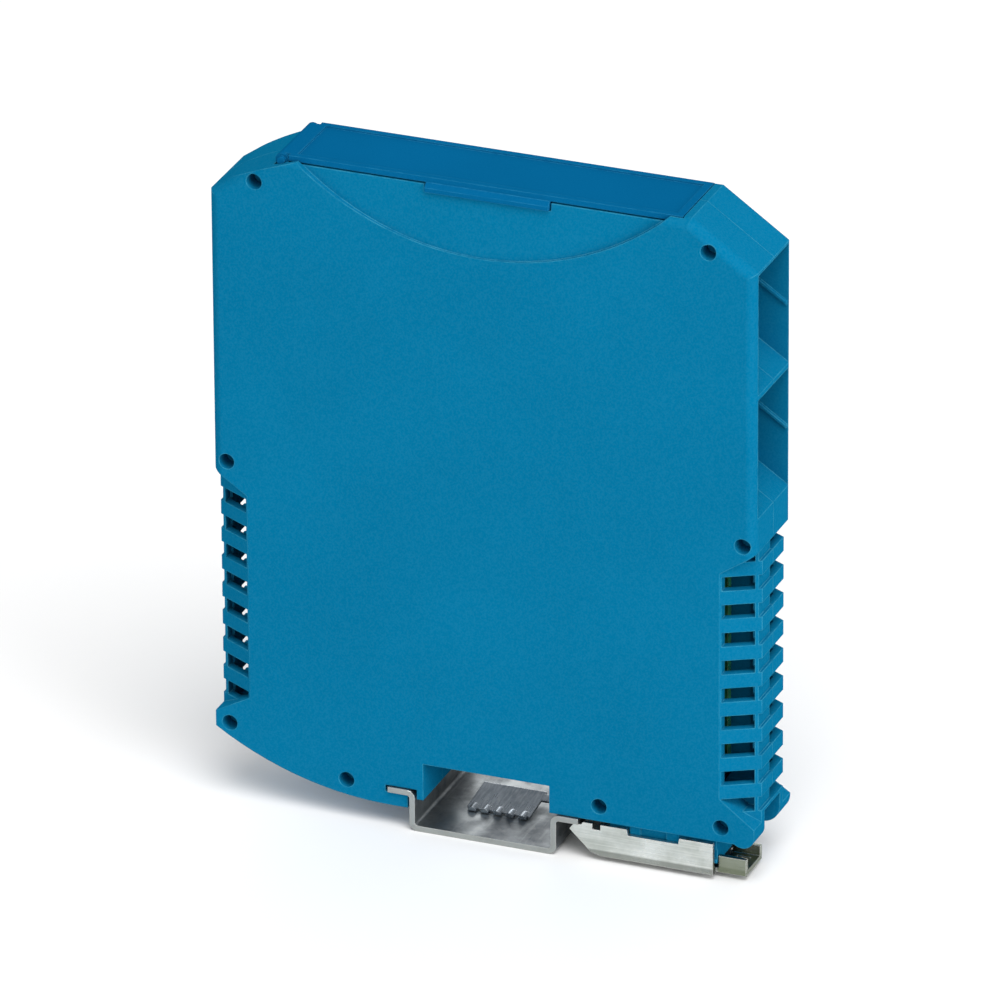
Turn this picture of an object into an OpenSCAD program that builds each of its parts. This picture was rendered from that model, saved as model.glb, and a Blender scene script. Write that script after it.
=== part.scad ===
// Rail-mounted direct injection box in a narrow two-shell case.
// X runs across the mounting rail, Y along it and Z away from it.
// The origin is on the plane that the rail stands on, in the middle of the case.

/* [Case] */
// Width of the case across the mounting rail
case_w = 99; // [98:0.5:102]
// Thickness of the case along the mounting rail
case_t = 17.5; // [17.5:0.1:18]
// Height of the case above the rail's top plane
case_h = 114.8; // [114:0.1:118]
// Wall thickness of the two half shells
wall = 1.5; // [1.4:0.05:1.6]
// Radius of the rounded outer edges
edge_r = 2; // [1:0.1:2]
// Width of the sloped corners at the top
slope_w = 11.9; // [11:0.1:12]
// Height of the sloped corners at the top
slope_h = 8.3; // [7:0.1:8.5]
// Radius of the thumb recess in the large faces
recess_r = 51; // [49:0.5:52]
// Radius of the curved lower edge beside the fixed hook
belly_r = 60; // [59:0.5:64]

/* [Vents] */
// Distance between two louvre slots
vent_pitch = 5.22; // [5.1:0.02:5.26]
// Height of one louvre slot
vent_gap = 2.6; // [2:0.1:2.6]
// Width of the bevelled corner that carries the slots
bevel_w = 6.4; // [6:0.1:6.6]
// Depth of the bevelled corner that carries the slots
bevel_d = 3.65; // [3.2:0.05:3.8]

/* [Rail] */
// Overall width of the rail section
rail_w = 35; // [35:0.1:35.2]
// Height of the rail section
rail_h = 7.5; // [7.5:0.1:7.6]
// Outer width of the rail's channel
rail_hat = 27; // [27:0.1:27.2]
// Sheet thickness of the rail
rail_s = 1; // [0.9:0.05:1]
// Length of the rail offcut
rail_l = 28; // [22:1:60]

/* [Foot catch] */
// Sheet thickness of the sliding foot catch
foot_s = 0.8; // [0.6:0.05:0.8]
// Travel of the foot catch from locked to released
foot_travel = 3; // [2:0.1:3]
// Turns of the foot's return spring
spring_turns = 7; // [5:1:8]
// Wire diameter of the foot's return spring
spring_wire = 0.5; // [0.4:0.05:0.6]

/* [Cover] */
// Thickness of the cover's top plate
cover_s = 1.1; // [1:0.05:1.2]
// Radius of the cover's hinge end
knuckle_r = 1.2; // [1.1:0.05:1.3]

/* [Electronics] */
// Thickness of the circuit board
board_s = 1.6; // [1.5:0.1:1.6]
// Distance between two contacts of a terminal header
pin_pitch = 3.81; // [3.5:0.01:3.81]
// Contacts in one terminal header
pin_count = 3; // [2:1:3]
// Travel of the slide switch levers
switch_travel = 2; // [1.5:0.1:2]

/* [Hidden] */
$fn = 64;

CASE_BLUE = [0.04, 0.42, 0.62];
COVER_BLUE = [0.02, 0.33, 0.53];
SHEET_STEEL = [0.80, 0.81, 0.79];
RAIL_STEEL = [0.58, 0.60, 0.60];
CONTACT_TIN = [0.75, 0.74, 0.70];
COPPER = [0.72, 0.38, 0.20];

far = 200;
half_w = case_w / 2;
half_t = case_t / 2;
rail_gap = 0.1;
top_z = rail_h + case_h;
base_z = rail_h + rail_gap;
inner_y = half_t - wall;

// The round of an outer edge meets the flat faces at a slight angle
edge_swell = 0.02;

// Fixed hook, rail channel and lower corners
hook_z = 3.9;
hook_x = 14;
hook_slot_x = 18.1;
hook_slot_z = 6.4;
belly_x = -17;
channel_left = -11.1;
channel_right = 12.1;
channel_z = 12.7;
keel_w = 1.2;
keel_z = 5.8;

// Rounded lower right corner: height of its centre and its radius
front_corner = [9.3, 2.2];
rear_corner = [9.7, 3.3];
toe_z = 16.4;

// Cut beside the foot catch for the blade that pulls it
release_w = 3.5;
release_half_y = 3.7;
release_top_z = 12.4;

// Louvre field: height of the ends of its outline, at the side and on the face
knee_z = top_z - 60;
vent_top_z = knee_z - 1;
vent_rows = 10;
crease_h = 4.3;
slot_in_y = 3.5;
face_x = half_w - bevel_w;
slot_end_x = half_w - 1.1;
groove = 0.55;

// Lower crease of the louvre field: height at the side and rise towards the face
front_crease = [10.8, 4.9];
rear_crease = [10, 4.3];
left_crease = [16.4, 3.4];

// Terminal pockets: sloped floors behind two openings at each end
pocket_x = 41.7;
partition = 1.4;
pocket_slope = 0.675;
level_pitch = 22.8;
upper_floor_z = top_z - 30.8;
floor_lip = 0.9;
roof_lip = 0.5;
guide_rib = 0.6;
guide_rib_z = 10.7;
pocket_clear = half_w + 3 - pocket_x;
neck_z = knee_z + 4;
roof_z = top_z - 4.5;

// Locating pins and their sockets
pin_r = 1.3;
socket_r = 1.4;
boss_r = 2.3;
pin_l = 5.6;
PIN_SPOTS = [
    [-41, top_z - 5.3], [41, top_z - 5.3], [-46.8, knee_z + 1.7], [47.2, knee_z + 1.5],
    [-46.9, 14.4], [-25.3, 7.3], [21.2, 10.4], [43.4, 10.3]
];

// Cover and its hinge
hinge_x = -36.5;
hinge_z = top_z - knuckle_r;
trunnion_r = 0.7;
trunnion_y = 7.65;
bay_y = 7.6;
cover_y = 7.45;
cover_core_y = 6.6;
cover_edge_s = 1;
cover_end_x = 36;
cover_gap = 0.2;
hinge_gap = 0.22;
shelf_z = top_z - 1.8;
shelf_y = 4.6;
skirt_in_y = 5.2;
skirt_out_y = 6;
skirt_z = top_z - 3.2;
tab_gap = 0.25;
tab_left = -10.2;
tab_right = 12.2;
sill_z = top_z - 1.3;
tab_sill_z = top_z - 2.7;

// Thumb recess: depth at its lowest point and at the sill
recess_low_d = 0.35;
recess_top_d = 1.2;
recess_low_z = top_z - 13;
recess_half = 32.5;
backing_y = 6.6;
backing_x = recess_half + 0.3;
backing_low_z = recess_low_z - 0.8;

// Circuit board and what stands on it
board_y = 4.9;
board_back_y = board_y + board_s;
board_x = 39.5;
board_z = 15.5;
board_shoulder_z = top_z - 10;
board_top_z = top_z - 5.5;
lead_end_y = 7;
lead_r = 0.35;
lead_hole_r = 0.45;
header_hole_r = 0.75;
front_post_r = 1.8;
rear_post_r = 2.5;
CLAMP_SPOTS = [[-35, 20], [35, 20], [-24, 109], [24, 109]];

header_x = 30;
header_mouth_x = 41.5;
header_h = 10;
header_low_y = -6.9;
upper_header_z = top_z - 24.1;
lower_header_z = upper_header_z - level_pitch;
contact_s = 1;
contact_end_x = 40;
tail_x = 28.6;
tail_step = 2.5;

core_x = 14;
core_z = 60;
core_half_z = 12;
core_low_y = -4.3;
core_high_y = 2.7;
bobbin_high_y = core_high_y + 1.7;
leg_x = 4;
window_x = 9.5;
window_half_z = 8;
SWITCH_X = [-14, 14];
capacitor_x = 24;
capacitor_leg = 3.75;
resistor_z = 38;
resistor_step = 8;
resistor_leg = 5.08;
RESISTOR_X = [for (i = [0:5]) (i - 2.5) * resistor_step];

// Earth contact: sloping leaf, arm to the channel's right side, riser and riveted tab
earth_left = -6.5;
earth_right = 5.1;
earth_s = 0.4;
earth_low_z = rail_s + 0.15;
earth_rise = 0.125;
leaf_y = 8;
arm_y = [5.4, 7.2];
riser_x = channel_right - 0.15 - earth_s;
riser_y = board_y - 0.1 - earth_s;
riser_top_z = 15.2;
tab_x = 7;
tab_top_z = 21;
rivet_x = 9.5;
rivet_z = 18.5;
rivet_r = 1.2;

// Foot catch, its guide block and its spring
foot_y = 8.6;
foot_z = 0.9;
foot_top_z = 6.8;
foot_end_x = 41.9;
rear_foot_end_x = 38.6;
guide_left = 22.7;
guide_right = 42.2;
guide_y = 7.4;
guide_z = 2.7;
guide_roof_z = guide_z + 6.4;
track_low_z = 3.4;
track_high_z = 5.2;
track_d = 0.4;
well_left = 23.9;
well_right = 38.4;
well_y = 2.9;
well_z = 7.3;
spring_tab_x = 24;
spring_tab_y = 2.4;
spring_z = 4.6;
spring_r = 1.95;
foot_tongue_x = 47.4;

// Inner radius of the rail's bends
bend_r = 0.5;

// ---- Helpers -------------------------------------------------------------

// Box between its lowest corner a and its highest corner b
module block(a, b) {
    translate(a) cube(b - a);
}

// Outline drawn in X and Z, given the thickness from y0 to y1
module slab(y0, y1) {
    translate([0, y1, 0]) rotate([90, 0, 0]) linear_extrude(y1 - y0) children();
}

// Outline drawn in Y and Z, drawn out from x0 to x1
module strip(x0, x1) {
    translate([x0, 0, 0]) rotate([90, 0, 90]) linear_extrude(x1 - x0) children();
}

// Round bar along Y at the X and Z of spot
module pin_y(spot, r, y0, y1) {
    translate([spot[0], y1, spot[1]]) rotate([90, 0, 0]) cylinder(r = r, h = y1 - y0);
}

module both_ends() {
    children();
    mirror([1, 0, 0]) children();
}

module both_sides() {
    children();
    mirror([0, 1, 0]) children();
}

// Waste left outside a rounded edge that runs from p to q, outside on its left
module edge_waste(p, q) {
    run = q - p;
    over = 2;
    length = norm(run) + 2 * over;
    translate([p[0], -half_t, p[1]]) rotate([0, -atan2(run[1], run[0]), 0])
        translate([-over, 0, 0]) difference() {
            block([0, -1, -edge_r], [length, edge_r, 1]);
            translate([-1, edge_r, -edge_r]) rotate([0, 90, 0])
                cylinder(r = edge_r + edge_swell, h = length + 2);
        }
}

// ---- Case outline and its cuts -------------------------------------------

module case_outline(corner) {
    intersection() {
        polygon([
            [-half_w, hook_z], [-half_w, top_z - slope_h], [-half_w + slope_w, top_z],
            [half_w - slope_w, top_z], [half_w, top_z - slope_h], [half_w, corner[0]],
            [half_w - corner[1], base_z], [channel_right, base_z],
            [channel_right, channel_z], [channel_left, channel_z],
            [channel_left, keel_z], [channel_left - keel_w, keel_z],
            [channel_left - keel_w, base_z], [-hook_slot_x, base_z],
            [-hook_slot_x, hook_slot_z], [-hook_x, hook_slot_z], [-hook_x, hook_z]
        ]);
        belly(belly_r);
    }
    translate([half_w - corner[1], corner[0]]) circle(corner[1]);
}

// Everything above the curved lower left edge
module belly(r) {
    translate([belly_x, hook_z + belly_r]) circle(r, $fn = 180);
    translate([belly_x, 0]) square([case_w, top_z + 10]);
}

// Louvre field on the large face, right-hand end
module vent_field(crease) {
    polygon([
        [face_x, crease[0] + crease[1]], [face_x, knee_z - crease_h], [half_w, knee_z],
        [half_w + 2, knee_z], [half_w + 2, crease[0]], [half_w, crease[0]]
    ]);
}

// Waste outside the bevelled corner, front right
module bevel_waste(crease) {
    intersection() {
        slab(-half_t - 1, 0) vent_field(crease);
        linear_extrude(far) polygon([
            [face_x, -half_t], [half_w, -half_t + bevel_d], [half_w + 5, -half_t + bevel_d],
            [half_w + 5, -half_t - 2], [face_x, -half_t - 2]
        ]);
    }
}

// Louvre slots of one end: openings from y0 to y1, as far out as x1
module vent_slots(crease, x0, x1, y0, y1) {
    intersection() {
        slab(y0, y1) vent_field(crease);
        for (row = [0:vent_rows - 1])
            translate([0, 0, vent_top_z - row * vent_pitch])
                block([x0, y0, -vent_gap / 2], [x1, y1, vent_gap / 2]);
    }
}

// Space inside the case at its full height, front half
module cavity() {
    run = [bevel_w, bevel_d];
    inset = wall * [-bevel_d, bevel_w] / norm(run);
    a = [face_x, -half_t] + inset;
    difference() {
        slab(-inner_y, 0) intersection() {
            polygon([
                [-half_w + wall, hook_z], [-half_w + wall, knee_z - wall],
                [wall - pocket_x, neck_z], [partition - pocket_x, roof_z],
                [pocket_x - partition, roof_z], [pocket_x - wall, neck_z],
                [half_w - wall, knee_z - wall], [half_w - wall, toe_z],
                [pocket_x - 0.5, toe_z - 1], [pocket_x - 0.5, guide_roof_z],
                [channel_right + wall, guide_roof_z], [channel_right + wall, channel_z + wall],
                [channel_left - wall, channel_z + wall], [channel_left - wall, base_z + wall],
                [-hook_slot_x - wall, base_z + wall], [-hook_slot_x - wall, hook_z]
            ]);
            belly(belly_r - wall);
        }
        both_ends() linear_extrude(neck_z)
            polygon([a - 2 * run, a + 3 * run, [half_w + 20, -half_t - 20]]);
        block([-backing_x, -inner_y - 1, backing_low_z], [recess_half + 2, -backing_y, top_z]);
    }
}

// Opening under the cover, front half
module bay() {
    block([hinge_x - knuckle_r - hinge_gap, -bay_y, sill_z], [cover_end_x + cover_gap, 0, top_z + 1]);
    block([hinge_x - knuckle_r - hinge_gap, -inner_y, top_z - 5], [-backing_x, 0, top_z + 1]);
    block([-backing_x, -backing_y, top_z - 6], [cover_end_x - 1.5, 0, top_z + 1]);
    block([-recess_half, -half_t - 1, sill_z], [recess_half, 0, top_z + 1]);
    block([tab_left - tab_gap, -half_t - 1, tab_sill_z], [tab_right + tab_gap, 0, top_z + 1]);
    pin_y([hinge_x, hinge_z], trunnion_r + 0.08, -trunnion_y - 0.1, 0);
}

// Scoop in the large face that a thumb lifts the cover from
module thumb_recess() {
    intersection() {
        pin_y([0, recess_low_z + recess_r], recess_r, -half_t - 2, 0, $fn = 180);
        strip(-half_w, half_w) polygon([
            [-half_t - 2, recess_low_z - 1], [-half_t + recess_low_d, recess_low_z - 0.1],
            [-half_t + recess_top_d, sill_z], [-half_t + recess_top_d, top_z + 2],
            [-half_t - 2, top_z + 2]
        ]);
    }
}

// Space of one terminal pocket in X and Z; its floor falls to floor_z at the end face
module pocket_space(floor_z, ceiling_z) {
    rise = pocket_slope * (half_w - pocket_x);
    drop = pocket_slope * (pocket_clear + pocket_x - half_w);
    polygon([
        [pocket_x, floor_z + rise], [pocket_x + pocket_clear, floor_z - drop],
        [pocket_x + pocket_clear, ceiling_z - drop], [pocket_x, ceiling_z + rise]
    ]);
}

// Ledge on a pocket's side wall that guides the plug, parallel to the floor
module guide_ledge(floor_z) {
    z = floor_z + guide_rib_z;
    rise = pocket_slope * (half_w - pocket_x);
    slab(-inner_y - 0.1, -inner_y + guide_rib) polygon([
        [pocket_x - 0.2, z + rise], [half_w - 0.3, z],
        [half_w - 0.3, z + guide_rib], [pocket_x - 0.2, z + rise + guide_rib]
    ]);
}

// One end's pockets, front half
module pockets() {
    slab(-inner_y, 0) {
        intersection() {
            pocket_space(upper_floor_z, top_z - slope_h - roof_lip);
            translate([pocket_x - 1, 0]) square([pocket_clear + 1, top_z - 3.6]);
        }
        pocket_space(upper_floor_z - level_pitch, upper_floor_z - floor_lip);
    }
    for (z = [upper_header_z, lower_header_z])
        block([pocket_x - partition - 1, header_low_y - 0.1, z - 0.1],
              [pocket_x + 0.1, board_y + 0.1, z + header_h + 0.1]);
}

// Guide block of the foot catch, front half, with its spring well and track
module foot_guide() {
    difference() {
        union() {
            block([guide_left, -guide_y, guide_z], [guide_right, 0, base_z + wall]);
            for (x = [[26.5, 28.4], [33.1, 35.5]])
                block([x[0], -guide_y - 0.3, track_high_z + 0.4], [x[1], -guide_y + 0.1, base_z + 0.1]);
        }
        block([well_left, -well_y, guide_z - 1], [well_right, 1, well_z]);
        block([well_left, -guide_y - 1, track_low_z], [guide_right + 1, -guide_y + track_d, track_high_z]);
    }
}

// Half shell without its pins, drawn as the front half
module half_shell(corner, crease) {
    difference() {
        union() {
            difference() {
                slab(-half_t, 0) case_outline(corner);
                cavity();
                both_ends() pockets();
            }
            intersection() {
                slab(-half_t, 0) case_outline(corner);
                for (spot = PIN_SPOTS) pin_y(spot, boss_r, -half_t, 0);
            }
            both_ends() {
                guide_ledge(upper_floor_z);
                guide_ledge(upper_floor_z - level_pitch);
            }
            foot_guide();
        }
        bay();
        thumb_recess();
        bevel_waste(crease);
        mirror([1, 0, 0]) bevel_waste(left_crease);
        edge_waste([-half_w, knee_z], [-half_w, top_z - slope_h]);
        edge_waste([-half_w, top_z - slope_h], [-half_w + slope_w, top_z]);
        edge_waste([-half_w + slope_w, top_z], [half_w - slope_w, top_z]);
        edge_waste([half_w - slope_w, top_z], [half_w, top_z - slope_h]);
        edge_waste([half_w, top_z - slope_h], [half_w, knee_z]);
        block([half_w - release_w, -release_half_y, 0], [half_w + 1, 1, release_top_z]);
    }
}

// ---- Case ----------------------------------------------------------------

module front_shell() {
    color(CASE_BLUE) {
        difference() {
            half_shell(front_corner, front_crease);
            for (spot = PIN_SPOTS) pin_y(spot, socket_r, -half_t - 1, 1);
            vent_slots(front_crease, face_x + 0.3, slot_end_x, -half_t - 1, -slot_in_y);
            vent_slots(front_crease, half_w - groove, far, -half_t - 1, 1);
            mirror([1, 0, 0]) {
                vent_slots(left_crease, face_x + 0.3, slot_end_x, -half_t - 1, -slot_in_y);
                vent_slots(left_crease, half_w - groove, far, -half_t - 1, 1);
            }
        }
        for (spot = CLAMP_SPOTS) pin_y(spot, front_post_r, -inner_y - 0.2, board_y - 0.05);
    }
}

module rear_shell() {
    color(CASE_BLUE) {
        mirror([0, 1, 0]) difference() {
            half_shell(rear_corner, rear_crease);
            vent_slots(rear_crease, face_x + 0.3, far, -half_t - 1, 1);
            mirror([1, 0, 0]) vent_slots(left_crease, face_x + 0.3, far, -half_t - 1, 1);
            // Slot for the earth contact's riser
            block([riser_x - 0.3, -arm_y[1] - 0.1, channel_z - 1],
                  [channel_right, -riser_y + 0.2, channel_z + wall + 1]);
            // Lower shelf beside the cover's hinge
            block([-half_w, -half_t - 1, shelf_z],
                  [hinge_x - knuckle_r - hinge_gap + 0.1, -shelf_y, top_z + 1]);
        }
        for (spot = PIN_SPOTS) pin_y(spot, pin_r, -pin_l, 0.1);
        for (spot = CLAMP_SPOTS) pin_y(spot, rear_post_r, board_back_y, inner_y + 0.2);
    }
}

module top_cover() {
    plate_low = top_z - cover_s;
    color(COVER_BLUE) {
        difference() {
            union() {
                slab(-cover_core_y, cover_core_y) polygon([
                    [hinge_x, plate_low], [cover_end_x, plate_low],
                    [cover_end_x, top_z], [hinge_x, top_z]
                ]);
                block([hinge_x + 1.4, -cover_y, top_z - cover_edge_s], [cover_end_x, cover_y, top_z]);
                pin_y([hinge_x, hinge_z], knuckle_r, -inner_y + 0.25, inner_y - 0.25);
                both_sides() {
                    block([-recess_half + 4, skirt_in_y, skirt_z],
                          [cover_end_x - 2, skirt_out_y, plate_low + 0.1]);
                    pin_y([hinge_x, hinge_z], trunnion_r, inner_y - 0.4, trunnion_y);
                    strip(tab_left, tab_right) polygon([
                        [6.4, plate_low + 0.3], [6.6, plate_low + 0.1], [7.5, plate_low + 0.1],
                        [8.3, top_z - 1.7], [8.3, tab_sill_z + 0.2], [6.4, tab_sill_z + 0.2]
                    ]);
                }
            }
            // Sunk panel inside the raised rim
            block([hinge_x + 2.6, -cover_core_y + 0.3, top_z - 0.35],
                  [cover_end_x - 1.4, cover_core_y - 0.3, top_z + 1]);
        }
        // Snap at the free end
        translate([cover_end_x - 2.6, 0, 0]) block([0, -4.5, skirt_z - 0.6], [0.8, 4.5, plate_low + 0.1]);
    }
}

module label_strip() {
    color("white")
        block([-recess_half + 1, -skirt_in_y + 0.2, top_z - cover_s - 0.55],
              [cover_end_x - 3, skirt_in_y - 0.2, top_z - cover_s - 0.05]);
}

// ---- Circuit board and terminals -----------------------------------------

function header_tails(z) = [for (i = [0:pin_count - 1]) [tail_x - i * tail_step, z + header_h / 2]];
function flip_x(spots) = [for (s = spots) [-s[0], s[1]]];

// X and Z of every header tail
HEADER_HOLES = concat(
    header_tails(upper_header_z), header_tails(lower_header_z),
    flip_x(header_tails(upper_header_z)), flip_x(header_tails(lower_header_z)));
BOBBIN_HOLES = [for (x = [-3, 0, 3], z = [-7.6, 7.6]) [x, core_z + z]];
CAPACITOR_HOLES = [for (side = [-1, 1], z = [-capacitor_leg, capacitor_leg]) [side * capacitor_x, core_z + z]];
RESISTOR_HOLES = [for (x = RESISTOR_X, z = [-resistor_leg, resistor_leg]) [x, resistor_z + z]];

module circuit_board() {
    color([0.05, 0.30, 0.16]) difference() {
        slab(board_y, board_back_y) polygon([
            [-board_x, board_z], [board_x, board_z], [board_x, board_shoulder_z],
            [30, board_shoulder_z], [28, board_top_z], [-28, board_top_z],
            [-30, board_shoulder_z], [-board_x, board_shoulder_z]
        ]);
        for (spot = HEADER_HOLES) pin_y(spot, header_hole_r, board_y - 1, board_back_y + 1);
        for (spot = concat(BOBBIN_HOLES, CAPACITOR_HOLES, RESISTOR_HOLES))
            pin_y(spot, lead_hole_r, board_y - 1, board_back_y + 1);
        pin_y([rivet_x, rivet_z], rivet_r + 0.05, board_y - 1, board_back_y + 1);
    }
}

function contact_y(i) = 2.81 - i * pin_pitch;

module header(z) {
    color([0.07, 0.32, 0.50]) difference() {
        block([header_x, header_low_y, z], [header_mouth_x, board_y - 0.02, z + header_h]);
        block([header_x + 3, header_low_y + 1, z + 1.2],
              [header_mouth_x + 1, board_y - 1, z + header_h - 1.2]);
        for (i = [0:pin_count - 1])
            translate([0, contact_y(i), z + header_h / 2])
                block([header_x - 1, -contact_s / 2 - 0.02, -contact_s / 2 - 0.02],
                      [header_x + 4, contact_s / 2 + 0.02, contact_s / 2 + 0.02]);
        // Keying slots for the plug
        for (y = [header_low_y + 3, board_y - 3.8])
            block([header_mouth_x - 4, y - 0.5, z + header_h - 2],
                  [header_mouth_x + 1, y + 0.5, z + header_h + 1]);
    }
}

module header_pins(z) {
    h = contact_s / 2;
    color(CONTACT_TIN) for (i = [0:pin_count - 1])
        translate([0, contact_y(i), z + header_h / 2]) {
            x = tail_x - i * tail_step;
            block([x - h, -h, -h], [contact_end_x, h, h]);
            block([x - h, -h, -h], [x + h, lead_end_y - contact_y(i), h]);
        }
}

module instrument_in_header() { mirror([1, 0, 0]) header(lower_header_z); }
module instrument_in_pins() { mirror([1, 0, 0]) header_pins(lower_header_z); }
module thru_header() { mirror([1, 0, 0]) header(upper_header_z); }
module thru_pins() { mirror([1, 0, 0]) header_pins(upper_header_z); }
module balanced_out_header() { header(upper_header_z); }
module balanced_out_pins() { header_pins(upper_header_z); }
module ground_header() { header(lower_header_z); }
module ground_pins() { header_pins(lower_header_z); }

// ---- Isolating transformer -----------------------------------------------

module transformer_core() {
    color([0.45, 0.46, 0.48]) difference() {
        block([-core_x, core_low_y, core_z - core_half_z], [core_x, core_high_y, core_z + core_half_z]);
        both_ends() block([leg_x, core_low_y - 1, core_z - window_half_z],
                          [window_x, core_high_y + 1, core_z + window_half_z]);
    }
}

// Rectangular tube around the core's middle leg
module leg_sleeve(out, z0, z1, in) {
    difference() {
        block([-leg_x - out, core_low_y - out, z0], [leg_x + out, core_high_y + out, z1]);
        block([-leg_x - in, core_low_y - in, z0 - 1], [leg_x + in, core_high_y + in, z1 + 1]);
    }
}

module transformer_bobbin() {
    flange = 0.8;
    low = core_z - window_half_z + 0.1;
    high = core_z + window_half_z - 0.1;
    color([0.12, 0.12, 0.13]) {
        leg_sleeve(0.8, low, high, 0.1);
        for (z = [low, core_z - flange / 2, high - flange])
            intersection() {
                leg_sleeve(5.2, z, z + flange, 0.1);
                block([-window_x + 0.1, core_low_y - 2.3, z], [window_x - 0.1, bobbin_high_y, z + flange]);
            }
    }
}

module winding(z0, z1) {
    color(COPPER) intersection() {
        leg_sleeve(4.9, z0, z1, 0.85);
        block([-window_x + 0.6, core_low_y - 1.9, z0], [window_x - 0.6, core_high_y + 1.5, z1]);
    }
}

module primary_winding() { winding(core_z - window_half_z + 0.95, core_z - 0.45); }
module secondary_winding() { winding(core_z + 0.45, core_z + window_half_z - 0.95); }

module transformer_pins() {
    color(CONTACT_TIN) for (spot = BOBBIN_HOLES) pin_y(spot, lead_r, bobbin_high_y, lead_end_y);
}

// ---- Switches and small parts --------------------------------------------

module slide_switch(x) {
    color([0.55, 0.56, 0.57]) difference() {
        block([x - 4.3, 0.6, board_top_z - 5], [x + 4.3, board_y - 0.02, board_top_z + 0.3]);
        block([x - 2.2, 1.9, board_top_z - 1.6], [x + 2.2, 3.5, board_top_z + 1]);
    }
}

module switch_lever(x) {
    color([0.90, 0.90, 0.88]) {
        block([x - 2, 2, board_top_z - 1.5], [x - 0.1, 3.4, board_top_z + 2.2]);
        for (dx = [0.3, 0.9, 1.5])
            block([x - 2 + dx, 2, board_top_z + 2.1], [x - 1.8 + dx, 3.4, board_top_z + 2.4]);
    }
}

module ground_lift_switch() { slide_switch(SWITCH_X[0]); }
module ground_lift_lever() { switch_lever(SWITCH_X[0]); }
module pad_switch() { slide_switch(SWITCH_X[1]); }
module pad_lever() { switch_lever(SWITCH_X[1]); }

module film_capacitors() {
    color([0.75, 0.12, 0.10]) {
        for (side = [-1, 1])
            block([side * capacitor_x - 3.6, -2.1, core_z - 5],
                  [side * capacitor_x + 3.6, board_y - 0.05, core_z + 5]);
        for (spot = CAPACITOR_HOLES) pin_y(spot, lead_r, board_y - 0.1, lead_end_y);
    }
}

module pad_resistors() {
    body_l = 6.2;
    body_y = 3.3;
    color([0.25, 0.55, 0.70]) for (x = RESISTOR_X) translate([x, body_y, resistor_z]) {
        translate([0, 0, -body_l / 2]) cylinder(r = 1.1, h = body_l);
        end_bands(body_l);
        translate([0, 0, -resistor_leg]) cylinder(r = 0.3, h = 2 * resistor_leg);
        for (z = [-resistor_leg, resistor_leg]) pin_y([0, z], 0.3, 0, lead_end_y - body_y);
    }
}

// Thicker ends of a resistor body
module end_bands(body_l) {
    for (z = [-body_l / 2, body_l / 2 - 1.2]) translate([0, 0, z]) cylinder(r = 1.3, h = 1.2);
}

// ---- Earth contact in the rail's channel ---------------------------------

// Sloping sheet from y0 to y1 of the earth contact, between x0 and x1
module earth_sheet(x0, x1, y0, y1) {
    z0 = earth_low_z + earth_rise * y0;
    z1 = earth_low_z + earth_rise * y1;
    strip(x0, x1) polygon([[y0, z0], [y1, z1], [y1, z1 + earth_s], [y0, z0 + earth_s]]);
}

module earth_contact() {
    finger = 0.75;
    color(SHEET_STEEL) {
        earth_sheet(earth_left, earth_right, 0, leaf_y);
        earth_sheet(earth_right - 0.1, riser_x + earth_s, arm_y[0], arm_y[1]);
        intersection() {
            block([earth_left, -1, earth_low_z], [earth_right, 1.2, earth_low_z + finger]);
            for (i = [0:4])
                pin_y([earth_left + 1.16 + i * 2.32, earth_low_z], finger, -0.8, 1.1);
        }
        block([riser_x, riser_y, earth_low_z + 1], [riser_x + earth_s, arm_y[1], riser_top_z]);
        difference() {
            block([tab_x, riser_y, channel_z + wall + 0.3], [riser_x + earth_s, riser_y + earth_s, tab_top_z]);
            pin_y([rivet_x, rivet_z], rivet_r + 0.05, 0, board_back_y);
        }
    }
}

module earth_rivet() {
    spot = [rivet_x, rivet_z];
    color(CONTACT_TIN) {
        pin_y(spot, rivet_r, riser_y - 0.3, board_back_y + 0.3);
        pin_y(spot, 2.1, riser_y - 0.6, riser_y - 0.02);
        pin_y(spot, 2, board_back_y + 0.02, board_back_y + 0.5);
    }
}

// ---- Foot catch ----------------------------------------------------------

// Side cheek of the foot catch as far as end_x; its nose hooks under the rail
module foot_cheek(end_x) {
    polygon([
        [15.7, 5.2], [16.5, 6.3], [17.8, 6.3], [18.2, foot_top_z], [19.9, foot_top_z],
        [19.9, 5.8], [21.4, 5.8], [21.4, foot_top_z], [26.2, foot_top_z], [26.4, 5.7],
        [35.6, 5.7], [35.8, foot_top_z], [end_x, foot_top_z], [end_x, foot_z],
        [21.5, foot_z], [19.6, 1.4], [18.1, 2.9]
    ]);
}

module foot_catch() {
    color(SHEET_STEEL) {
        difference() {
            union() {
                slab(-foot_y, -foot_y + foot_s) foot_cheek(foot_end_x);
                slab(foot_y - foot_s, foot_y) foot_cheek(rear_foot_end_x);
                block([21, -foot_y, foot_z], [foot_end_x, foot_y, foot_z + foot_s]);
                slab(-foot_y, foot_y) polygon([
                    [15.7, 5.2], [18.1, 2.9], [19.6, 1.4], [21.5, foot_z],
                    [21.5, foot_z + foot_s], [20, 2.1], [18.8, 3.3], [17, 5.1], [17.3, 6.3], [16.5, 6.3]
                ]);
            }
            // Opening in the base where the spring tab is bent up
            block([spring_tab_x + foot_s, -spring_tab_y, 0], [spring_tab_x + 6, spring_tab_y, foot_z + 2]);
        }
        block([spring_tab_x, -spring_tab_y, foot_z], [spring_tab_x + foot_s, spring_tab_y, 6.5]);
        for (spot = [[29, -1], [39, -1], [27, 1], [36, 1]]) intersection() {
            translate([spot[0], spot[1] * (foot_y - foot_s), (track_low_z + track_high_z) / 2])
                sphere(r = 0.65, $fn = 32);
            translate([0, min(spot[1], 0) * (foot_y - 0.1), 0]) cube([far, foot_y - 0.1, 10]);
        }
        foot_tongue();
    }
}

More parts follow.
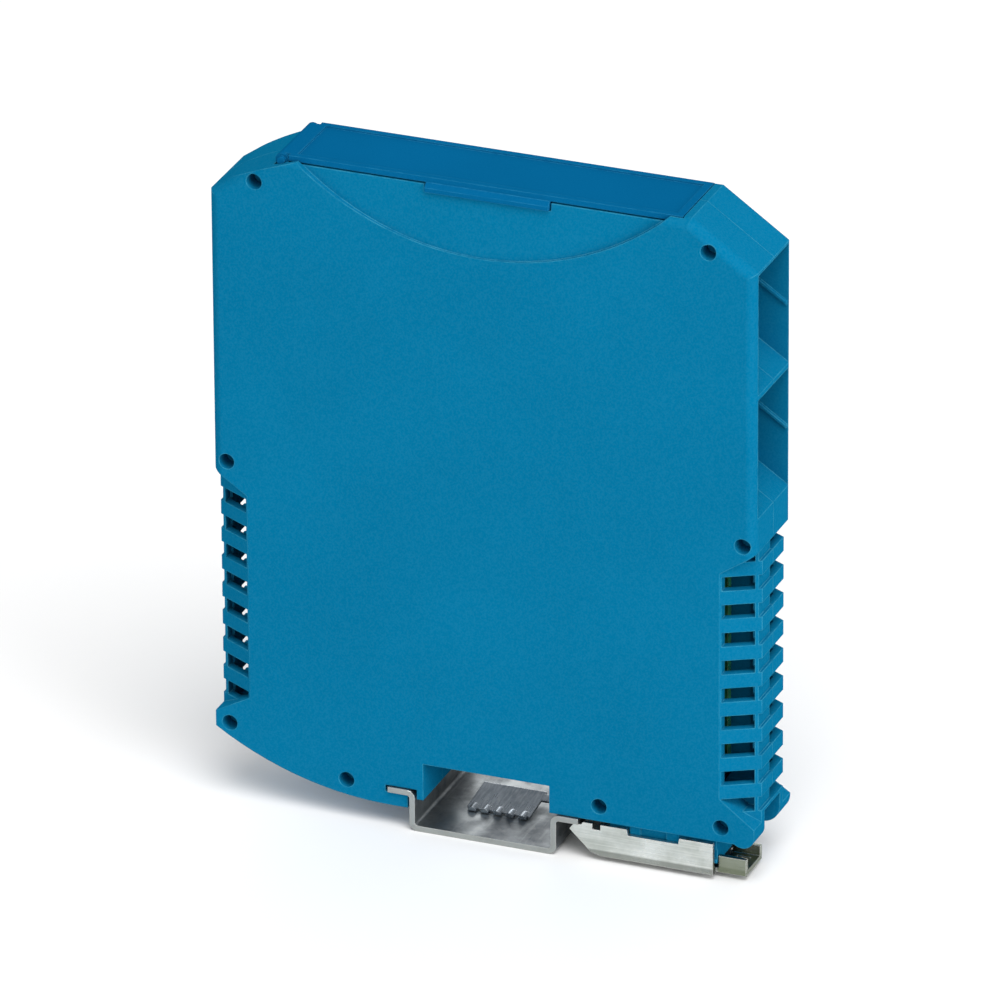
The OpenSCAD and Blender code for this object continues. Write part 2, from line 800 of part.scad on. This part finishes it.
// Narrow end that a blade pulls
module foot_tongue() {
    front = -7;
    back = 0.6;
    front_top = 4;
    back_top = 3.6;
    difference() {
        union() {
            block([foot_end_x - 0.1, front, foot_z], [foot_tongue_x, back, foot_z + foot_s]);
            block([guide_right + 0.2, front, foot_z], [foot_tongue_x, front + foot_s, front_top]);
            block([guide_right + 0.2, back - foot_s, foot_z], [foot_tongue_x, back, back_top]);
        }
        block([43.6, front + 1.9, 0], [46.2, back - 1.9, foot_z + 1]);
    }
}

// Ring of points round the wire at angle t of the helix
function wire_ring(t, length, sides) = [
    for (k = [0:sides - 1])
        let (r = spring_r + spring_wire / 2 * cos(360 * k / sides))
        [length * t / (360 * spring_turns) + spring_wire / 2 * sin(360 * k / sides), r * cos(t), r * sin(t)]
];

module foot_spring() {
    sides = 8;
    rings = 12 * spring_turns;
    length = well_right - spring_tab_x - foot_s - spring_wire - 0.3;
    points = [for (i = [0:rings]) each wire_ring(i * 360 * spring_turns / rings, length, sides)];
    walls = [for (i = [0:rings - 1], k = [0:sides - 1])
        let (a = i * sides + k, b = i * sides + (k + 1) % sides) [a, b, b + sides, a + sides]];
    ends = [[for (k = [0:sides - 1]) sides - 1 - k], [for (k = [0:sides - 1]) rings * sides + k]];
    color(SHEET_STEEL)
        translate([spring_tab_x + foot_s + spring_wire / 2 + 0.15, 0, spring_z])
            polyhedron(points, concat(walls, ends));
}

// ---- Mounting rail -------------------------------------------------------

// Quarter of a bend, opening towards the signs of toward
module bend(centre, toward) {
    outer = bend_r + rail_s;
    translate(centre) intersection() {
        difference() {
            circle(outer);
            circle(bend_r);
        }
        translate([min(toward[0], 0) * outer, min(toward[1], 0) * outer]) square(outer);
    }
}

module din_rail() {
    r = bend_r + rail_s;
    hat = rail_hat / 2;
    color(RAIL_STEEL) slab(-half_t - 0.5, -half_t - 0.5 + rail_l) both_flanks() {
        square([hat - r + 0.01, rail_s]);
        bend([hat - r, r], [1, -1]);
        translate([hat - rail_s, r - 0.01]) square([rail_s, rail_h - 2 * r + 0.02]);
        bend([hat + bend_r, rail_h - r], [-1, 1]);
        translate([hat + bend_r - 0.01, rail_h - rail_s])
            square([(rail_w - rail_hat) / 2 - bend_r + 0.01, rail_s]);
    }
}

module both_flanks() {
    children();
    mirror([1, 0]) children();
}

// ---- What is drawn -------------------------------------------------------

front_shell();
rear_shell();
top_cover();
label_strip();
circuit_board();
instrument_in_header();
instrument_in_pins();
thru_header();
thru_pins();
balanced_out_header();
balanced_out_pins();
ground_header();
ground_pins();
transformer_core();
transformer_bobbin();
primary_winding();
secondary_winding();
transformer_pins();
ground_lift_switch();
ground_lift_lever();
pad_switch();
pad_lever();
film_capacitors();
pad_resistors();
earth_contact();
earth_rivet();
foot_catch();
foot_spring();
din_rail();
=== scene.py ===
import math

import bmesh
import bpy
from mathutils import Matrix, Vector


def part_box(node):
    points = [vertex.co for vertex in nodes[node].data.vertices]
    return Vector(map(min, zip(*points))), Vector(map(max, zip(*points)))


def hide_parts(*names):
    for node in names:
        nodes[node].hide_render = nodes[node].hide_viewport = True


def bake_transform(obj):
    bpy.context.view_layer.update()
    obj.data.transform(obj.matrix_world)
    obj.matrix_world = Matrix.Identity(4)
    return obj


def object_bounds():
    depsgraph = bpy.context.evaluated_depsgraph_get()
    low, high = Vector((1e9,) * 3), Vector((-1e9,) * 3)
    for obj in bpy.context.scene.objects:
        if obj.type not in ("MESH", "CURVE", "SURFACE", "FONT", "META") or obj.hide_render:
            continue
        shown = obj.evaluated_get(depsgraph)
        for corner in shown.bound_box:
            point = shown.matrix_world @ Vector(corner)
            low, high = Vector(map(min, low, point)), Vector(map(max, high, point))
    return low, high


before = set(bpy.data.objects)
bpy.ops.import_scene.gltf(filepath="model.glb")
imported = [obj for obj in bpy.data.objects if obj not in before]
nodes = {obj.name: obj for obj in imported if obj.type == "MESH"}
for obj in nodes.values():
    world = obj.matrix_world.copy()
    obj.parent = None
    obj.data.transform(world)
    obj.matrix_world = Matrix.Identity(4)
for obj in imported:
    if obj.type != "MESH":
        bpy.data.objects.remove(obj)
cad_low, cad_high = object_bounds()

scene = bpy.context.scene

MM = 0.001

# 1 minus the cosine of a rounded normal's turn where an edge begins to show and where it shows fully
EDGE_TURN = (0.004, 0.08)

# The Mix node's sockets for its factor and two colours, and its output for a colour
MIX_INPUTS = (0, 6, 7)
MIX_COLOR = 2


# ---- Node helpers ---------------------------------------------------------

class Shader:
    """A material's node tree with short calls for the nodes that it needs."""

    def __init__(self, name):
        self.material = bpy.data.materials.new(name)
        self.material.use_nodes = True
        self.tree = self.material.node_tree
        self.bsdf = self.tree.nodes["Principled BSDF"]
        self.place = self.add("ShaderNodeTexCoord").outputs["Object"]
        self.geometry = self.add("ShaderNodeNewGeometry")

    def add(self, kind, **settings):
        node = self.tree.nodes.new(kind)
        for key, value in settings.items():
            setattr(node, key, value)
        return node

    def wire(self, value, socket):
        if isinstance(value, bpy.types.NodeSocket):
            self.tree.links.new(value, socket)
        else:
            socket.default_value = value

    def stretched(self, x, y, z):
        node = self.add("ShaderNodeMapping")
        self.wire(self.place, node.inputs["Vector"])
        node.inputs["Scale"].default_value = (x, y, z)
        return node.outputs["Vector"]

    def noise(self, scale, detail=3.0, rough=0.5, where=None):
        node = self.add("ShaderNodeTexNoise")
        self.wire(where or self.place, node.inputs["Vector"])
        node.inputs["Scale"].default_value = scale
        node.inputs["Detail"].default_value = detail
        node.inputs["Roughness"].default_value = rough
        return node.outputs["Fac"]

    def cells(self, scale, where=None, feature="F1", out="Distance"):
        node = self.add("ShaderNodeTexVoronoi", feature=feature)
        self.wire(where or self.place, node.inputs["Vector"])
        node.inputs["Scale"].default_value = scale
        return node.outputs[out]

    def waves(self, direction, scale, distortion=0.0):
        node = self.add("ShaderNodeTexWave", wave_type="BANDS", bands_direction=direction)
        self.wire(self.place, node.inputs["Vector"])
        node.inputs["Scale"].default_value = scale
        node.inputs["Distortion"].default_value = distortion
        return node.outputs["Fac"]

    def math(self, operation, a, b=0.0):
        node = self.add("ShaderNodeMath", operation=operation)
        self.wire(a, node.inputs[0])
        self.wire(b, node.inputs[1])
        return node.outputs[0]

    def span(self, value, low, high, to_low=0.0, to_high=1.0):
        """to_low where value is below low, to_high above high, and smooth between them."""
        node = self.add("ShaderNodeMapRange", interpolation_type="SMOOTHSTEP")
        self.wire(value, node.inputs["Value"])
        ends = {"From Min": low, "From Max": high, "To Min": to_low, "To Max": to_high}
        for key, number in ends.items():
            self.wire(number, node.inputs[key])
        return node.outputs["Result"]

    def blend(self, factor, a, b):
        node = self.add("ShaderNodeMix", data_type="RGBA")
        for index, value in zip(MIX_INPUTS, (factor, a, b)):
            if not isinstance(value, (bpy.types.NodeSocket, float, int)):
                value = (*value, 1.0)[:4]
            self.wire(value, node.inputs[index])
        return node.outputs[MIX_COLOR]

    def axis(self, letter, where=None):
        node = self.add("ShaderNodeSeparateXYZ")
        self.wire(where or self.place, node.inputs[0])
        return node.outputs[letter]

    def edge(self, radius):
        """A mask, 1 on sharp edges and 0 on open surfaces, and the normal of edges rounded to radius."""
        rounded = self.add("ShaderNodeBevel", samples=4)
        rounded.inputs["Radius"].default_value = radius
        along = self.add("ShaderNodeVectorMath", operation="DOT_PRODUCT")
        self.wire(rounded.outputs["Normal"], along.inputs[0])
        self.wire(self.geometry.outputs["Normal"], along.inputs[1])
        turned = self.math("SUBTRACT", 1.0, along.outputs["Value"])
        return self.span(turned, *EDGE_TURN), rounded.outputs["Normal"]

    def bump(self, height, strength, distance, normal=None):
        node = self.add("ShaderNodeBump")
        self.wire(height, node.inputs["Height"])
        node.inputs["Strength"].default_value = strength
        node.inputs["Distance"].default_value = distance
        if normal is not None:
            self.wire(normal, node.inputs["Normal"])
        return node.outputs["Normal"]

    def finish(self, color, rough, normal=None, metallic=0.0, specular=0.5, coat=0.0, coat_rough=0.1):
        inputs = self.bsdf.inputs
        self.wire(color, inputs["Base Color"])
        self.wire(rough, inputs["Roughness"])
        inputs["Metallic"].default_value = metallic
        inputs["Specular IOR Level"].default_value = specular
        inputs["Coat Weight"].default_value = coat
        inputs["Coat Roughness"].default_value = coat_rough
        if normal is not None:
            self.wire(normal, inputs["Normal"])
        return self.material


# ---- Materials ------------------------------------------------------------
# Scales of noise, cells and waves are per metre. Colours are linear.

def moulded(name, base, deep, worn_and_highlit, rough=0.38, grain=2600.0, relief=0.012, edge_r=0.00022, specular=0.45):
    """Injection moulded plastic: spark-eroded grain, faint flow marks, rubbed edges with a painted
    highlight.
    """
    s = Shader(name)
    cloud = s.noise(34.0, 4.0, 0.55)
    flow = s.noise(16.0, 3.0, 0.6, s.stretched(1.0, 1.0, 4.5))
    fine = s.noise(grain, 2.0, 0.6)
    specks = s.cells(grain * 0.62)
    edge, rounded = s.edge(edge_r)
    edge_wear_and_highlight = s.math("MULTIPLY", edge, s.span(s.noise(420.0, 3.0, 0.6), 0.32, 0.62, 0.25, 1.0))
    color = s.blend(s.span(cloud, 0.25, 0.75), base, deep)
    color = s.blend(s.span(flow, 0.45, 0.8, 0.0, 0.35), color, deep)
    color = s.blend(s.span(fine, 0.3, 0.7, 0.0, 0.10), color, worn_and_highlit)
    # Edges get the lighter worn colour, partly for rubbing and partly as a painted highlight.
    color = s.blend(s.math("MULTIPLY", edge_wear_and_highlight, 0.8), color, worn_and_highlit)
    gloss = s.span(cloud, 0.2, 0.8, rough - 0.05, rough + 0.06)
    gloss = s.math("ADD", gloss, s.span(fine, 0.2, 0.8, -0.04, 0.05))
    gloss = s.math("SUBTRACT", gloss, s.math("MULTIPLY", edge_wear_and_highlight, 0.08))
    height = s.math("ADD", fine, s.math("MULTIPLY", specks, 0.7))
    normal = s.bump(height, 0.35, relief * MM, rounded)
    normal = s.bump(cloud, 0.10, 0.25 * MM, normal)
    return s.finish(color, gloss, normal, specular=specular)


BURNISHED = (0.92, 0.92, 0.90)
# Greenish grey painted shade and reflection for the foot's tongue under the housing.
PAINTED_SHADE_TINT = (0.15, 0.175, 0.11)


def plated(name, light, dark, tint, streak_axis=(1.0, 60.0, 60.0), rough=0.32, burnish=0.6,
           shaded_below=None, shaded_past=None):
    """Zinc plated steel sheet: cloudy plating, rolling streaks, burnished edges, small stains.

    It gets painted shade below the height shaded_below, and a painted greenish shade beyond the X of
    shaded_past.
    """
    s = Shader(name)
    cloud = s.noise(120.0, 5.0, 0.6)
    streaks = s.noise(60.0, 4.0, 0.65, s.stretched(*streak_axis))
    stains = s.noise(300.0, 4.0, 0.7)
    edge, rounded = s.edge(0.0002)
    color = s.blend(s.span(cloud, 0.3, 0.7), light, dark)
    color = s.blend(s.span(streaks, 0.35, 0.75, 0.0, 0.5), color, tint)
    color = s.blend(s.span(stains, 0.62, 0.8, 0.0, 0.35), color, tuple(c * 0.55 for c in dark))
    # Painted shade on the bottom bend, darker below that height.
    if shaded_below is not None:
        painted_bend_shade = s.span(s.axis("Z"), shaded_below - 0.2 * MM, shaded_below + 0.2 * MM, 0.75, 0.0)
        color = s.blend(painted_bend_shade, color, tuple(c * 0.45 for c in dark))
    # Painted greenish shade beyond that X, where the housing shades the tongue.
    if shaded_past is not None:
        painted_tongue_shade = s.span(s.axis("X"), shaded_past - 0.3 * MM, shaded_past + 0.3 * MM, 0.0, 0.8)
        color = s.blend(painted_tongue_shade, color, PAINTED_SHADE_TINT)
    color = s.blend(s.math("MULTIPLY", edge, burnish), color, BURNISHED)
    gloss = s.span(cloud, 0.3, 0.7, rough - 0.06, rough + 0.12)
    gloss = s.math("ADD", gloss, s.span(streaks, 0.3, 0.7, -0.05, 0.08))
    gloss = s.math("SUBTRACT", gloss, s.math("MULTIPLY", edge, 0.10))
    normal = s.bump(streaks, 0.25, 0.02 * MM, rounded)
    normal = s.bump(stains, 0.20, 0.01 * MM, normal)
    return s.finish(color, gloss, normal, metallic=1.0)


def galvanised(name):
    """Roll-formed rail: dull zinc with dark mottling, drawn marks along its length and bright cut edges."""
    s = Shader(name)
    drawn = s.noise(90.0, 4.0, 0.6, s.stretched(14.0, 1.0, 14.0))
    mottle = s.noise(190.0, 5.0, 0.62)
    patches = s.noise(75.0, 3.0, 0.55)
    spangle = s.cells(420.0, out="Color")
    bright = s.add("ShaderNodeSeparateColor")
    s.wire(spangle, bright.inputs[0])
    edge, rounded = s.edge(0.0003)
    color = s.blend(s.span(mottle, 0.3, 0.72), (0.34, 0.37, 0.38), (0.13, 0.15, 0.165))
    color = s.blend(s.span(patches, 0.45, 0.7, 0.0, 0.6), color, (0.05, 0.06, 0.075))
    color = s.blend(s.span(bright.outputs[0], 0.0, 1.0, 0.0, 0.15), color, (0.42, 0.44, 0.44))
    color = s.blend(s.span(drawn, 0.5, 0.75, 0.0, 0.35), color, (0.40, 0.43, 0.43))
    sheared = s.span(s.math("ABSOLUTE", s.axis("Y", s.geometry.outputs["Normal"])), 0.9, 0.98)
    color = s.blend(s.math("MULTIPLY", sheared, 0.7), color, (0.40, 0.42, 0.40))
    color = s.blend(s.math("MULTIPLY", edge, 0.65), color, (0.55, 0.57, 0.55))
    gloss = s.math("ADD", s.span(mottle, 0.3, 0.7, 0.30, 0.46), s.span(patches, 0.4, 0.7, 0.0, 0.10))
    normal = s.bump(drawn, 0.35, 0.02 * MM, rounded)
    normal = s.bump(mottle, 0.30, 0.015 * MM, normal)
    return s.finish(color, gloss, normal, metallic=1.0)


def board_laminate(name):
    """Green resist over copper tracks, with the weave of the glass faintly raised."""
    s = Shader(name)
    weave_a = s.waves("X", 900.0)
    weave_b = s.waves("Z", 900.0)
    weave = s.math("MULTIPLY", weave_a, weave_b)
    tracks = s.cells(210.0, s.stretched(0.45, 0.0, 1.0), feature="DISTANCE_TO_EDGE")
    track = s.span(tracks, 0.10, 0.16, 1.0, 0.0)
    tone = s.noise(60.0, 3.0, 0.5)
    edge, rounded = s.edge(0.00012)
    color = s.blend(s.span(tone, 0.3, 0.7), (0.012, 0.13, 0.055), (0.008, 0.095, 0.04))
    color = s.blend(s.math("MULTIPLY", track, 0.7), color, (0.035, 0.24, 0.085))
    color = s.blend(s.math("MULTIPLY", edge, 0.5), color, (0.45, 0.42, 0.26))
    gloss = s.span(tone, 0.2, 0.8, 0.22, 0.34)
    normal = s.bump(s.math("ADD", s.math("MULTIPLY", weave, 0.25), track), 0.45, 0.03 * MM, rounded)
    return s.finish(color, gloss, normal, specular=0.5, coat=0.3, coat_rough=0.15)


def wound_wire(name, light, dark):
    """Layers of enamelled copper wire wound round the middle leg."""
    s = Shader(name)
    turns = s.waves("Z", 520.0)
    tone = s.noise(240.0, 3.0, 0.6, s.stretched(0.3, 0.3, 3.0))
    color = s.blend(s.span(tone, 0.3, 0.7), light, dark)
    # Painted shade in the grooves between turns.
    color = s.blend(s.span(turns, 0.0, 0.45, 0.75, 0.0), color, tuple(c * 0.2 for c in dark))
    gloss = s.span(tone, 0.2, 0.8, 0.22, 0.36)
    normal = s.bump(turns, 0.9, 0.12 * MM)
    return s.finish(color, gloss, normal, metallic=0.85, coat=0.5, coat_rough=0.12)


def laminations(name):
    """Varnished transformer stampings, stacked along Y."""
    s = Shader(name)
    layers = s.waves("Y", 430.0, 0.3)
    tone = s.noise(150.0, 4.0, 0.6)
    rust = s.noise(420.0, 4.0, 0.7)
    edge, rounded = s.edge(0.0002)
    color = s.blend(s.span(tone, 0.3, 0.7), (0.23, 0.24, 0.26), (0.12, 0.125, 0.135))
    color = s.blend(s.span(layers, 0.0, 0.35, 0.6, 0.0), color, (0.03, 0.03, 0.032))
    color = s.blend(s.span(rust, 0.66, 0.82, 0.0, 0.5), color, (0.20, 0.09, 0.04))
    color = s.blend(s.math("MULTIPLY", edge, 0.5), color, (0.5, 0.5, 0.5))
    normal = s.bump(layers, 0.6, 0.06 * MM, rounded)
    return s.finish(color, s.span(tone, 0.2, 0.8, 0.30, 0.48), normal, metallic=0.8)


def tinned(name):
    """Tin plated contacts: soft lustre with fine drawn scratches."""
    s = Shader(name)
    scratches = s.noise(900.0, 3.0, 0.6, s.stretched(0.15, 1.0, 1.0))
    tone = s.noise(260.0, 4.0, 0.6)
    edge, rounded = s.edge(0.00012)
    color = s.blend(s.span(tone, 0.3, 0.7), (0.74, 0.73, 0.68), (0.55, 0.54, 0.50))
    color = s.blend(s.math("MULTIPLY", edge, 0.5), color, (0.9, 0.89, 0.86))
    gloss = s.math("ADD", s.span(scratches, 0.3, 0.7, 0.20, 0.30), s.span(tone, 0.3, 0.7, 0.0, 0.08))
    normal = s.bump(scratches, 0.3, 0.01 * MM, rounded)
    return s.finish(color, gloss, normal, metallic=1.0)


CELLS_PER_M = 157.5


def marking_paper(name):
    """Blank marking strip: matt fibres and faint cell lines across it."""
    s = Shader(name)
    fibres = s.noise(1500.0, 4.0, 0.7, s.stretched(1.0, 0.25, 1.0))
    tone = s.noise(90.0, 3.0, 0.5)
    cell = s.math("FRACT", s.math("MULTIPLY", s.axis("X"), CELLS_PER_M))
    lines = s.span(s.math("ABSOLUTE", s.math("SUBTRACT", cell, 0.5)), 0.0, 0.022, 0.35, 0.0)
    color = s.blend(s.span(tone, 0.3, 0.7), (0.86, 0.86, 0.83), (0.78, 0.78, 0.75))
    color = s.blend(s.span(fibres, 0.35, 0.7, 0.0, 0.2), color, (0.68, 0.67, 0.63))
    color = s.blend(lines, color, (0.35, 0.36, 0.38))
    normal = s.bump(fibres, 0.4, 0.02 * MM)
    return s.finish(color, s.span(tone, 0.2, 0.8, 0.62, 0.78), normal, specular=0.3)


# Place along the body in millimetres from its middle, and colour
RESISTOR_BANDS = (
    (-2.3, (0.30, 0.10, 0.03)), (-1.1, (0.02, 0.02, 0.02)), (-0.1, (0.55, 0.20, 0.02)),
    (0.9, (0.02, 0.02, 0.02)), (2.3, (0.45, 0.03, 0.02)),
)
RESISTOR_HALF_MM = 3.1


def banded(name):
    """Metal film resistors: blue lacquer with narrow bands across the body, tinned leads."""
    s = Shader(name)
    low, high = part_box("pad_resistors")
    centre = (low[2] + high[2]) / 2
    z = s.math("MULTIPLY", s.math("SUBTRACT", s.axis("Z"), centre), 1 / MM)
    tone = s.noise(500.0, 3.0, 0.6)
    color = s.blend(s.span(tone, 0.3, 0.7), (0.10, 0.36, 0.55), (0.07, 0.28, 0.44))
    for place, tint in RESISTOR_BANDS:
        band = s.span(s.math("ABSOLUTE", s.math("SUBTRACT", z, place)), 0.20, 0.26, 1.0, 0.0)
        color = s.blend(band, color, tint)
    bare = s.span(s.math("ABSOLUTE", z), RESISTOR_HALF_MM - 0.02, RESISTOR_HALF_MM + 0.04)
    color = s.blend(bare, color, (0.62, 0.61, 0.57))
    normal = s.bump(tone, 0.25, 0.03 * MM)
    material = s.finish(color, s.span(tone, 0.2, 0.8, 0.20, 0.32), normal, coat=0.2)
    s.wire(bare, s.bsdf.inputs["Metallic"])
    return material


# The case has no specular gloss; its edges get a painted highlight in the lighter worn colour instead.
case_blue = moulded("case_plastic", (0.0005, 0.138, 0.276), (0.0003, 0.126, 0.255), (0.050, 0.310, 0.460),
                    edge_r=0.0003, specular=0.0)
cover_blue = moulded("cover_plastic", (0.0004, 0.098, 0.240), (0.0002, 0.089, 0.219), (0.020, 0.200, 0.370),
                     rough=0.34, grain=3600.0, relief=0.006, specular=0.0)
header_blue = moulded("header_plastic", (0.004, 0.075, 0.165), (0.003, 0.060, 0.130), (0.03, 0.16, 0.27),
                      rough=0.34, grain=3000.0, relief=0.006, specular=0.15)
bobbin_black = moulded("bobbin_plastic", (0.018, 0.018, 0.020), (0.010, 0.010, 0.011), (0.07, 0.07, 0.07),
                       rough=0.45)
lever_white = moulded("lever_plastic", (0.78, 0.78, 0.74), (0.70, 0.70, 0.66), (0.86, 0.86, 0.83),
                      rough=0.33, grain=3600.0, relief=0.006)
capacitor_red = moulded("capacitor_epoxy", (0.42, 0.030, 0.022), (0.33, 0.020, 0.016), (0.55, 0.09, 0.06),
                        rough=0.26, grain=1500.0, relief=0.02)
# The foot gets painted shade along its bottom bend and a painted greenish shade on its tongue.
sheet_steel = plated("foot_plating", (0.70, 0.72, 0.69), (0.40, 0.43, 0.39), (0.80, 0.81, 0.77), rough=0.27,
                     shaded_below=2.0 * MM, shaded_past=42.2 * MM)
contact_steel = plated("contact_plating", (0.22, 0.26, 0.30), (0.10, 0.13, 0.16), (0.34, 0.37, 0.40),
                       streak_axis=(40.0, 1.0, 40.0), rough=0.28, burnish=0.2)
switch_steel = plated("switch_can", (0.66, 0.66, 0.65), (0.50, 0.50, 0.50), (0.76, 0.76, 0.75), rough=0.30)
spring_steel = plated("spring_wire", (0.60, 0.60, 0.59), (0.42, 0.42, 0.43), (0.72, 0.72, 0.71), rough=0.22)
tin = tinned("tin_plating")

FINISHES = {
    "front_shell": case_blue, "rear_shell": case_blue, "top_cover": cover_blue,
    "label_strip": marking_paper("marking_paper"), "circuit_board": board_laminate("board_laminate"),
    "instrument_in_header": header_blue, "thru_header": header_blue,
    "balanced_out_header": header_blue, "ground_header": header_blue,
    "instrument_in_pins": tin, "thru_pins": tin, "balanced_out_pins": tin, "ground_pins": tin,
    "transformer_core": laminations("core_laminations"), "transformer_bobbin": bobbin_black,
    "primary_winding": wound_wire("primary_wire", (0.62, 0.24, 0.09), (0.42, 0.13, 0.05)),
    "secondary_winding": wound_wire("secondary_wire", (0.70, 0.34, 0.12), (0.50, 0.20, 0.07)),
    "transformer_pins": tin, "ground_lift_switch": switch_steel, "pad_switch": switch_steel,
    "ground_lift_lever": lever_white, "pad_lever": lever_white,
    "film_capacitors": capacitor_red, "pad_resistors": banded("resistor_lacquer"),
    "earth_contact": contact_steel, "earth_rivet": tin,
    "foot_catch": sheet_steel, "foot_spring": spring_steel, "din_rail": galvanised("rail_zinc"),
}

for name, obj in nodes.items():
    obj.data.materials.clear()
    obj.data.materials.append(FINISHES[name])
    for polygon in obj.data.polygons:
        polygon.material_index = 0


# ---- Return spring --------------------------------------------------------

def coil(name, low, high, radius, wire, turns, steps=32, sides=12):
    """Closed-end compression spring along X between the points low and high of its wire's centre.

    Its first and last turn lie closed at a pitch of dead, and the turns between them have the pitch live.
    """
    dead = 1.08 * wire
    live = (high.x - low.x - 2 * dead) / (turns - 2)
    verts, faces = [], []
    for i in range(turns * steps + 1):
        turn = i / steps
        closed_turns = min(turn, 1) + max(turn - turns + 1, 0)
        along = low.x + dead * closed_turns + live * min(max(turn - 1, 0), turns - 2)
        angle = math.tau * turn
        for k in range(sides):
            around = math.tau * k / sides
            r = radius + wire / 2 * math.cos(around)
            verts.append((along + wire / 2 * math.sin(around),
                          low.y + r * math.cos(angle), low.z + r * math.sin(angle)))
    for i in range(turns * steps):
        for k in range(sides):
            a, b = i * sides + k, i * sides + (k + 1) % sides
            faces.append((a, b, b + sides, a + sides))
    last = turns * steps * sides
    faces += [tuple(reversed(range(sides))), tuple(last + k for k in range(sides))]
    mesh = bpy.data.meshes.new(name)
    mesh.from_pydata(verts, [], faces)
    shape = bmesh.new()
    shape.from_mesh(mesh)
    bmesh.ops.recalc_face_normals(shape, faces=shape.faces)
    shape.to_mesh(mesh)
    shape.free()
    for polygon in mesh.polygons:
        polygon.use_smooth = len(polygon.vertices) == 4
    obj = bpy.data.objects.new(name, mesh)
    scene.collection.objects.link(obj)
    return obj


WIRE = 0.5 * MM
SPRING_TURNS = 7

# The two ends of the wire's centre line, which fills the box of the CAD spring
box_low, box_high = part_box("foot_spring")
middle = (box_low + box_high) / 2
SPRING_LOW = Vector((box_low.x + WIRE / 2, middle.y, middle.z))
SPRING_HIGH = Vector((box_high.x - WIRE / 2, middle.y, middle.z))
spring_radius = (box_high.z - box_low.z - WIRE) / 2

return_spring = coil("return_spring", SPRING_LOW, SPRING_HIGH, spring_radius, WIRE, SPRING_TURNS)
return_spring.data.materials.append(spring_steel)
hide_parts("foot_spring")
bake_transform(return_spring)


# ---- Stage, light and camera ----------------------------------------------

FLOOR_HALF = 3.0
FLOOR_GAP = 0.05 * MM
LIGHT_AIM = Vector((0, 0, 0.06))
AMBIENT = 0.52

# Each light's name, azimuth and elevation in degrees, distance and size in metres, power in watts
LIGHTS = (
    ("key", 38, 62, 2.6, (1.8, 1.8), 54),
    ("front", -8, 20, 2.4, (1.8, 1.4), 9),
    ("right", 68, 14, 2.4, (1.4, 1.0), 26),
    ("back", 196, 12, 2.4, (1.6, 0.9), 16),
)


def floor_plane():
    """White paper just below the object."""
    mesh = bpy.data.meshes.new("floor")
    corners = [(x * FLOOR_HALF, y * FLOOR_HALF, 0) for x, y in ((-1, -1), (1, -1), (1, 1), (-1, 1))]
    mesh.from_pydata(corners, [], [(0, 1, 2, 3)])
    obj = bpy.data.objects.new("floor", mesh)
    obj.location.z = cad_low.z - FLOOR_GAP
    scene.collection.objects.link(obj)
    s = Shader("floor_paper")
    tone = s.noise(3.0, 2.0, 0.5)
    paper = s.blend(s.span(tone, 0.3, 0.7), (0.86, 0.86, 0.86), (0.85, 0.85, 0.85))
    mesh.materials.append(s.finish(paper, 0.75, specular=0.2))


def soft_light(name, azimuth, elevation, distance, size, power):
    """Rectangular light that stands at those angles from the object and faces it."""
    light = bpy.data.lights.new(name, "AREA")
    light.shape = "RECTANGLE"
    light.size, light.size_y = size
    light.energy = power
    obj = bpy.data.objects.new(name, light)
    a, e = math.radians(azimuth), math.radians(elevation)
    away = Vector((math.sin(a) * math.cos(e), -math.cos(a) * math.cos(e), math.sin(e)))
    obj.location = away * distance + LIGHT_AIM
    obj.rotation_euler = away.to_track_quat("Z", "Y").to_euler()
    scene.collection.objects.link(obj)


# Azimuth, elevation and roll
CAMERA_DEGREES = (21.78, 25.17, -0.34)
CAMERA_DISTANCE = 2.319
CAMERA_AIM = Vector((0, 0, 0.06119))
CAMERA_ASIDE = -0.000102
CAMERA_DOWN = -0.000391
FOCAL_MM = 491.1
SENSOR_MM = 36


def photo_camera():
    """Long lens, 21.8 degrees to the right of the large face and 25.2 degrees above it."""
    azimuth, elevation, roll = (math.radians(v) for v in CAMERA_DEGREES)
    forward = Vector((-math.sin(azimuth) * math.cos(elevation),
                      math.cos(azimuth) * math.cos(elevation), -math.sin(elevation)))
    right = Vector((math.cos(azimuth), math.sin(azimuth), 0))
    up = right.cross(forward)
    across = math.cos(roll) * right + math.sin(roll) * up
    upward = -math.sin(roll) * right + math.cos(roll) * up
    place = CAMERA_AIM - CAMERA_DISTANCE * forward + CAMERA_ASIDE * across + CAMERA_DOWN * upward
    camera = bpy.data.cameras.new("camera")
    camera.sensor_width = SENSOR_MM
    camera.lens = FOCAL_MM
    camera.clip_start, camera.clip_end = 0.05, 20
    obj = bpy.data.objects.new("camera", camera)
    obj.matrix_world = Matrix((
        (across.x, upward.x, -forward.x, place.x),
        (across.y, upward.y, -forward.y, place.y),
        (across.z, upward.z, -forward.z, place.z),
        (0, 0, 0, 1)))
    scene.collection.objects.link(obj)
    scene.camera = obj


def studio_world():
    """Even white light from all round, which is also the background."""
    world = bpy.data.worlds.new("studio")
    world.use_nodes = True
    background = world.node_tree.nodes["Background"].inputs
    background["Color"].default_value = (1.0, 1.0, 1.0, 1.0)
    background["Strength"].default_value = AMBIENT
    scene.world = world


floor_plane()
for light in LIGHTS:
    soft_light(*light)
studio_world()
scene.view_settings.view_transform = "Standard"
photo_camera()
